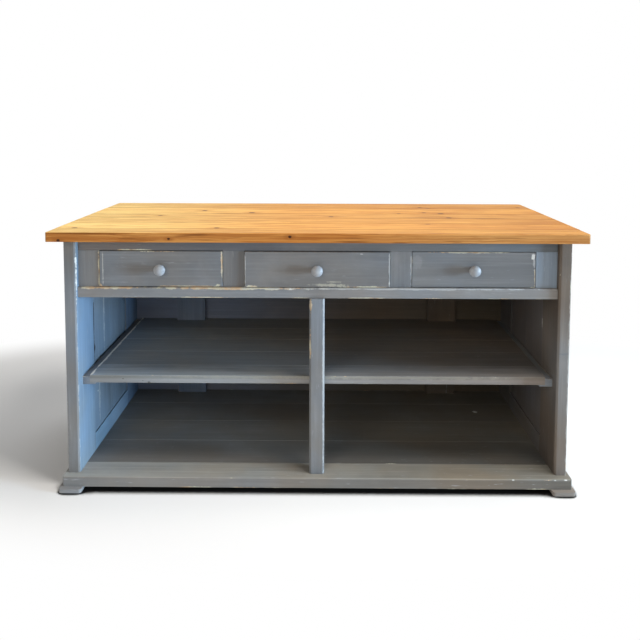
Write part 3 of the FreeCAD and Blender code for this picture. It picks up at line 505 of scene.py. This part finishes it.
FINISHES = {
    # the frieze and the drawers
    "frieze_top_rail": dict(
        tone=(0.80, 0), worn=0.2,
        bare=[spot(-0.628, FRIEZE, 0.8280, 0.066, 0.0024)],
        # Painted light: the rail turns lighter and bluer towards the right, where the blue light falls.
        drifts=[("x", -0.8, 0.8, (0.94, 0.85, 0.82), (0.95, 1.08, 1.18))]),
    "frieze_stile_1": dict(
        tone=(0.86, 0),
        bare=[spot(-0.749, FRIEZE, 0.765, 0.0028, 0.05)]),
    "frieze_stile_2": dict(tone=(0.83, -0.03)),
    "frieze_stile_3": dict(marks=mark(SCUFF, 0.8, spot(0.322, FRIEZE, 0.765, 0.0022, 0.05))),
    # Painted light: much lighter and bluer, filling in the shade that the right front post casts on it.
    "frieze_stile_4": dict(tone=(1.6, 0.12), worn=0.2),
    "drawer_left_front": dict(
        tone=(1.03, 0), worn=0.44,
        bare=[spot(-0.3255, LEFT_DRAWER, 0.782, 0.004, 0.038),
              spot(-0.743, LEFT_DRAWER, 0.706, 0.006),
              spot(-0.338, LEFT_DRAWER, 0.707, 0.009, 0.005),
              spot(-0.42, LEFT_DRAWER, 0.704, 0.09, 0.002)],
        marks=mark(CHALK_AND_PAINTED_HIGHLIGHT, 0.5, spot(-0.735, LEFT_DRAWER, 0.765, 0.0016, 0.05))),
    "drawer_middle_front": dict(
        tone=(0.90, 0), worn=0.36,
        bare=[spot(0.172, MIDDLE_DRAWER, 0.7045, 0.068, 0.0026),
              spot(-0.228, MIDDLE_DRAWER, 0.705, 0.018, 0.004)],
        marks=mark(UNDERCOAT, 0.45, spot(0.038, MIDDLE_DRAWER, 0.711, 0.055, 0.005),
                   spot(0.060, MIDDLE_DRAWER, 0.722, 0.03, 0.002))
        + mark(SCUFF, 0.9, spot(0.2482, MIDDLE_DRAWER, 0.765, 0.0034, 0.06),
               spot(-0.247, MIDDLE_DRAWER, 0.765, 0.0018, 0.05))
        + mark(CHALK_AND_PAINTED_HIGHLIGHT, 1.0, spot(0.249, MIDDLE_DRAWER, 0.719, 0.003, 0.005),
               spot(0.153, MIDDLE_DRAWER, 0.819, 0.006, 0.0012))),
    "drawer_right_front": dict(
        tone=(1.0, 0.04), worn=0.40,
        bare=[spot(0.497, FRIEZE, 0.8245, 0.112, 0.0024), spot(0.746, FRIEZE, 0.745, 0.004, 0.028)],
        marks=mark(CHALK_AND_PAINTED_HIGHLIGHT, 1.0, spot(0.738, FRIEZE, 0.808, 0.006, 0.009))
        + mark(SCUFF, 0.7, spot(0.742, FRIEZE, 0.785, 0.005, 0.018))
        + mark(SCUFF, 0.15, spot(0.345, FRIEZE, 0.790, 0.014, 0.022))),
    "drawer_rail": dict(
        tone=(1.14, -0.04), worn=0.4,
        bare=[spot(-0.70, RAIL_EDGE, 0.6990, 0.12, 0.0042, 0.010),
              spot(-0.30, RAIL_EDGE, 0.6990, 0.28, 0.0044, 0.010),
              spot(-0.385, RAIL, 0.667, 0.09, 0.0018),
              spot(0.160, RAIL, 0.667, 0.055, 0.0016)],
        marks=mark(SCUFF, 0.8, spot(0.32, RAIL_EDGE, 0.6995, 0.46, 0.0036, 0.010))
        + mark(CHALK_AND_PAINTED_HIGHLIGHT, 1.0, spot(-0.090, RAIL, 0.697, 0.006, 0.003))),
    # the posts and the ends
    "centre_post": dict(
        tone=(1.18, 0.02),
        bare=[spot(-0.022, -0.328, 0.640, 0.005, 0.028), spot(-0.024, -0.329, 0.50, 0.003, 0.05)],
        # Painted highlight: a pale line down the post's right edge, where light catches its rounded arris.
        marks=mark(CHALK_AND_PAINTED_HIGHLIGHT, 0.26, spot(0.0235, -0.328, 0.40, 0.0040, 0.30, 0.006))),
    "end_left_front_post": dict(
        # Painted light: its inner face is lighter and bluer.
        drifts=[PAINTED_BLUE_LIGHT_INSIDE,
                ("z", 0.15, 0.42, (1.15, 1.16, 1.16), PLAIN),
                ("z", 0.62, 0.80, PLAIN, (0.86, 0.84, 0.81))],
        # Painted highlight: pale lines down the post's inner edge, where light catches its rounded arris.
        marks=mark(CHALK_AND_PAINTED_HIGHLIGHT, 0.9, spot(-0.8212, -0.3290, 0.765, 0.0029, 0.090, 0.007))
        + mark(CHALK_AND_PAINTED_HIGHLIGHT, 0.22, spot(-0.8215, -0.3295, 0.40, 0.0018, 0.32, 0.005))),
    "end_left_back_post": dict(
        low_warmth=0.1,
        # Painted light and painted shade: its inner face is bluer and darker.
        drifts=[("x", *LEFT_INSIDE, PLAIN, (0.55, 0.75, 1.02))]),
    "end_left_bottom_rail": dict(
        low_warmth=0.1,
        # Painted light and painted shade: a bluer inner face, and darker towards the back.
        drifts=[PAINTED_BLUE_LIGHT_INSIDE, ("y", -0.15, 0.10, (1.0, 1.08, 1.08), (0.8, 0.8, 0.8))]),
    # Painted light: a lighter, bluer inner face.
    "end_left_top_rail": dict(low_warmth=0.1, drifts=[PAINTED_BLUE_LIGHT_INSIDE]),
    "end_left_panel": dict(
        low_warmth=0.1, tone=(1.1, 0),
        # Painted light and painted shade: a lighter, bluer inner face, darker towards the back.
        drifts=[("x", -0.836, -0.829, PLAIN, (0.86, 1.17, 1.48)),
                ("y", -0.14, 0.08, (1.12, 1.02, 0.95), (0.60, 0.56, 0.54))],
        marks=mark(CHALK_AND_PAINTED_HIGHLIGHT, 0.9, wall_spot(-WALL, -0.136, 0.256, 0.006, 0.004))
        + mark(GAP, 0.85, wall_spot(-WALL, -0.166, 0.52, 0.0044, 0.11),
               wall_spot(-WALL, -0.162, 0.43, 0.007, 0.008))
        + mark(CHALK_AND_PAINTED_HIGHLIGHT, 0.25, wall_spot(-WALL, -0.06, 0.52, 0.006, 0.16),
               wall_spot(-WALL, -0.12, 0.25, 0.006, 0.10))
        + mark(GAP, 0.4, wall_spot(-WALL, 0.20, 0.52, 0.030, 0.018),
               wall_spot(-WALL, 0.15, 0.57, 0.014, 0.010))),
    "end_right_panel": dict(
        tone=(1.08, 0), low_warmth=0.7,
        # Painted shade: the inner face is darker and warmer than the outer.
        drifts=[("x", 0.829, 0.836, (0.90, 0.82, 0.78), PLAIN)],
        marks=mark(CHALK_AND_PAINTED_HIGHLIGHT, 0.9, wall_spot(WALL, -0.168, 0.531, 0.006, 0.024))
        + mark(GAP, 0.8, wall_spot(WALL, -0.214, 0.435, 0.0022, 0.02))),
    "end_right_back_post": dict(tone=(0.62, -0.1), worn=0.1),
    "end_right_bottom_rail": dict(tone=(0.75, -0.1), worn=0.1),
    "end_right_front_post": dict(
        tone=(0.98, -0.06), low_warmth=0.6,
        drifts=[("z", 0.15, 0.42, (0.94, 0.83, 0.74), (1.14, 1.08, 1.02)),
                # Painted shade: the post's inner side face is darker.
                ("x", 0.8205, 0.8225, (0.8, 0.78, 0.76), PLAIN),
                ("z", 0.48, 0.66, PLAIN, (0.60, 0.55, 0.50), ("x", 0.8605, 0.8595))],
        marks=mark(PAINT_DARK, 0.8, spot(0.842, -0.330, 0.479, 0.022, 0.004))
        # Painted highlight: a pale line down the post's outer edge, where light catches its arris.
        + mark(CHALK_AND_PAINTED_HIGHLIGHT, 0.35, spot(0.8605, -0.3295, 0.40, 0.003, 0.36))),
    # the base
    "base_front_board": dict(
        tone=(1.45, 0), low_warmth=0.3,
        drifts=[("x", -0.8, 0.8, (1.10, 1.10, 1.08), (0.79, 0.70, 0.58)),
                # Painted light and painted shade: the board's top is lighter and its front face darker.
                ("y", -0.3565, -0.3545, (0.80, 0.76, 0.72), (1.18, 1.18, 1.12))],
        marks=mark(CHALK_AND_PAINTED_HIGHLIGHT, 0.9, spot(0.674, BASE_FRONT, 0.048, 0.005, 0.0015),
                   spot(0.851, BASE_FRONT, 0.049, 0.005, 0.0016),
                   spot(0.815, BASE_FRONT, 0.048, 0.003, 0.0012))),
    "base_boards": dict(
        tone=(1.15, 0),
        drifts=[("x", -0.8, 0.8, (1.06, 1.06, 1.04), (0.80, 0.76, 0.68)),
                # Painted shade: darker towards the front, behind the front board, more so on the right half.
                ("y", -0.26, 0.0, (0.84, 0.84, 0.84), (1.06, 1.04, 1.0)),
                ("y", -0.27, -0.05, (0.80, 0.80, 0.80), (1.20, 1.18, 1.14), ("x", -0.02, 0.02))],
        marks=mark(CHALK_AND_PAINTED_HIGHLIGHT, 0.9, flat_spot(0.660, 0.138, 0.050, 0.010, 0.008))),
    "foot_front_left": dict(tone=(1.38, -0.03)),
    "foot_front_right": dict(tone=(1.2, -0.08)),
    # the back and the shelf
    "back_boards": dict(
        # Painted light and shade inside: lighter, bluer on the left; darker, warmer on the right.
        drifts=[("x", -0.75, 0.3, (1.45, 1.72, 2.3), (0.93, 0.76, 0.58), ("y", *BACK_INSIDE)),
                ("x", 0.3, 0.75, PLAIN, (0.72, 0.70, 0.62), ("y", *BACK_INSIDE))]),
    # Painted light and shade: lighter, bluer on the left; darker, warmer on the right.
    "back_battens": dict(drifts=[("x", -0.6, 0.6, (1.2, 1.5, 2.0), (0.75, 0.60, 0.45))]),
    "shelf_boards": dict(
        stroke=0.7, fade=("y", -0.235, -0.290, 0.7),
        # Painted light and shade: lighter and bluer towards the left, darker and warmer towards the right.
        drifts=[("x", -0.8, 0.8, (1.12, 1.30, 1.45), (0.84, 0.78, 0.72)),
                ("y", -0.2898, -0.2886, (0.98, 0.90, 0.84), PLAIN),
                ("x", -0.75, -0.35, (0.82, 0.78, 0.74), (1.14, 1.14, 1.14), ("y", *SHELF_NOSE)),
                ("z", 0.366, 0.372, (1.06, 1.06, 1.06), (0.86, 0.86, 0.82), ("y", *SHELF_NOSE))],
        marks=mark(CHALK_AND_PAINTED_HIGHLIGHT, 1.0, flat_spot(-0.7930, 0.0, 0.381, 0.0042, 0.36))
        + mark(UNDERCOAT, 0.10, spot(-0.15, SHELF_FRONT, 0.376, 0.30, 0.006),
               spot(0.25, SHELF_FRONT, 0.376, 0.34, 0.006))
        + mark(GAP, 0.7, spot(-0.680, SHELF_FRONT, 0.368, 0.004, 0.002),
               spot(-0.610, SHELF_FRONT, 0.361, 0.004, 0.002),
               spot(-0.589, SHELF_FRONT, 0.356, 0.004, 0.002))),
    "shelf_end_strips": dict(tone=(1.05, 0.10)),
}


def dress_the_rest():
    """Finish every other node by its material slot. The seed goes by the node's place in the alphabet."""
    unknown = set(FINISHES) - set(nodes)
    assert not unknown, unknown
    slots = {entry["node"]: entry["material_slot"] for entry in frame["record"]["subparts"]}
    for seed, name in enumerate(sorted(nodes)):
        grain = "z" if name in UPRIGHT else "y" if name in DEEP else "x"
        if slots[name] == "worn_grey_paint":
            finish(name, painted(name, grain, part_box(name), seed + 1, boards=MANY_BOARDS.get(name),
                                 **FINISHES.get(name, {})))
            if name not in SHARP:
                soften(name)
        elif slots[name] == "bare_pine":
            finish(name, timber(name, grain, seed, PINE, PINE_DARK))
        elif slots[name] == "knob_paint":
            finish(name, knob_paint())
        elif slots[name] == "nail_steel":
            finish(name, steel())


# ---------------------------------------------------------------- floor and light

# The floor shows its shadows inside an ellipse and fades to plain white outside it. Close under
# the object, within CONTACT, ambient occlusion darkens its colour: a painted contact shadow.
FLOOR_REACH = 40.0
FLOOR_CENTRE = (0, 0.3, 0)
FLOOR_SHOWN = (1.9, 0.8, 1.0)
FLOOR_FADE = (1.0, 1.35)
FLOOR_GREY = (0.8, 0.8, 0.8, 1)
CONTACT = 0.045
CONTACT_EDGE = (0.60, 0.84)
CONTACT_PAINTED_SHADOW = (0.013, 0.013, 0.013, 1)
CONTACT_CLEAR = (0.96, 0.98, 1.0, 1)
WHITE = (1, 1, 1, 1)
WORLD_STRENGTH = 0.15
TARGET = Vector((0, -0.1, 0.5))

# name, azimuth and elevation in degrees, distance, size, power and colour
LIGHTS = [("sky", 28, 65, 3.4, 1.6, 118, (0.96, 0.91, 0.85)),
          ("window", 16, 3, 9.0, 1.9, 1150, (0.56, 0.78, 1.0)),
          ("front_fill", 112, 26, 3.4, 1.6, 30, (0.96, 0.87, 0.76)),
          ("back_fill", -90, 58, 3.4, 1.6, 35, (1, 1, 1))]


def seen_rays(tree):
    """1 for rays from the camera, or by way of a mirror or glass, and 0 for the light's own."""
    path = tree.nodes.new("ShaderNodeLightPath")
    total = path.outputs["Is Camera Ray"]
    for other in ("Is Glossy Ray", "Is Transmission Ray"):
        either = tree.nodes.new("ShaderNodeMath")
        either.operation = "MAXIMUM"
        tree.links.new(total, either.inputs[0])
        tree.links.new(path.outputs[other], either.inputs[1])
        total = either.outputs[0]
    return total


def choose(tree, factor, first, second):
    mixer = tree.nodes.new("ShaderNodeMixShader")
    for socket, value in zip(mixer.inputs, (factor, first, second)):
        tree.links.new(value, socket)
    return mixer.outputs[0]


def add_floor():
    """A white floor: the object's shadow and a painted contact shadow near it, plain white further off."""
    mesh = bpy.data.meshes.new("floor")
    reach = FLOOR_REACH
    corners = [(-reach, -reach, 0), (reach, -reach, 0), (reach, reach, 0), (-reach, reach, 0)]
    mesh.from_pydata(corners, [], [(0, 1, 2, 3)])
    floor = bpy.data.objects.new("floor", mesh)
    bpy.context.scene.collection.objects.link(floor)
    graph = Graph("floor", roughness=0.9, specular=0.0)
    tree = graph.tree
    graph.shader.inputs["Base Color"].default_value = FLOOR_GREY
    shown = tree.nodes.new("ShaderNodeBsdfDiffuse")
    # Painted contact shadow: ambient occlusion darkens the floor's shown colour close under the object.
    hidden = graph.node("ShaderNodeAmbientOcclusion", samples=16)
    hidden.inputs["Distance"].default_value = CONTACT
    clear = graph.ramp(hidden.outputs["AO"], *CONTACT_EDGE)
    tree.links.new(graph.mix(clear, CONTACT_PAINTED_SHADOW, CONTACT_CLEAR), shown.inputs[0])
    white = tree.nodes.new("ShaderNodeEmission")
    spread = graph.vector("DIVIDE", graph.vector("SUBTRACT", graph.place, FLOOR_CENTRE), FLOOR_SHOWN)
    away = graph.ramp(graph.vector("LENGTH", spread), *FLOOR_FADE)
    seen = choose(tree, away, shown.outputs[0], white.outputs[0])
    output = next(item for item in tree.nodes if item.bl_idname == "ShaderNodeOutputMaterial")
    tree.links.new(choose(tree, seen_rays(tree), graph.shader.outputs[0], seen), output.inputs[0])
    mesh.materials.append(graph.material)


def add_light(name, azimuth, elevation, distance, size, power, colour):
    """A soft square light. Azimuth turns from +X, the right end, towards -Y, the front."""
    turn, rise = math.radians(azimuth), math.radians(elevation)
    way = Vector((math.cos(turn) * math.cos(rise), -math.sin(turn) * math.cos(rise), math.sin(rise)))
    data = bpy.data.lights.new(name, "AREA")
    data.shape = "SQUARE"
    data.size = size
    data.energy = power
    data.color = colour
    lamp = bpy.data.objects.new(name, data)
    bpy.context.scene.collection.objects.link(lamp)
    lamp.location = TARGET + way * distance
    lamp.rotation_euler = (-way).to_track_quat("-Z", "Y").to_euler()


def add_world():
    world = bpy.data.worlds.new("world")
    bpy.context.scene.world = world
    world.use_nodes = True
    tree = world.node_tree
    tree.nodes.clear()
    soft = tree.nodes.new("ShaderNodeBackground")
    soft.inputs[0].default_value = WHITE
    soft.inputs[1].default_value = WORLD_STRENGTH
    white = tree.nodes.new("ShaderNodeBackground")
    white.inputs[0].default_value = WHITE
    output = tree.nodes.new("ShaderNodeOutputWorld")
    tree.links.new(choose(tree, seen_rays(tree), soft.outputs[0], white.outputs[0]), output.inputs[0])


dress_worktop()
dress_the_rest()
add_camera()
add_floor()
for light in LIGHTS:
    add_light(*light)
add_world()
bpy.context.scene.view_settings.view_transform = "Standard"
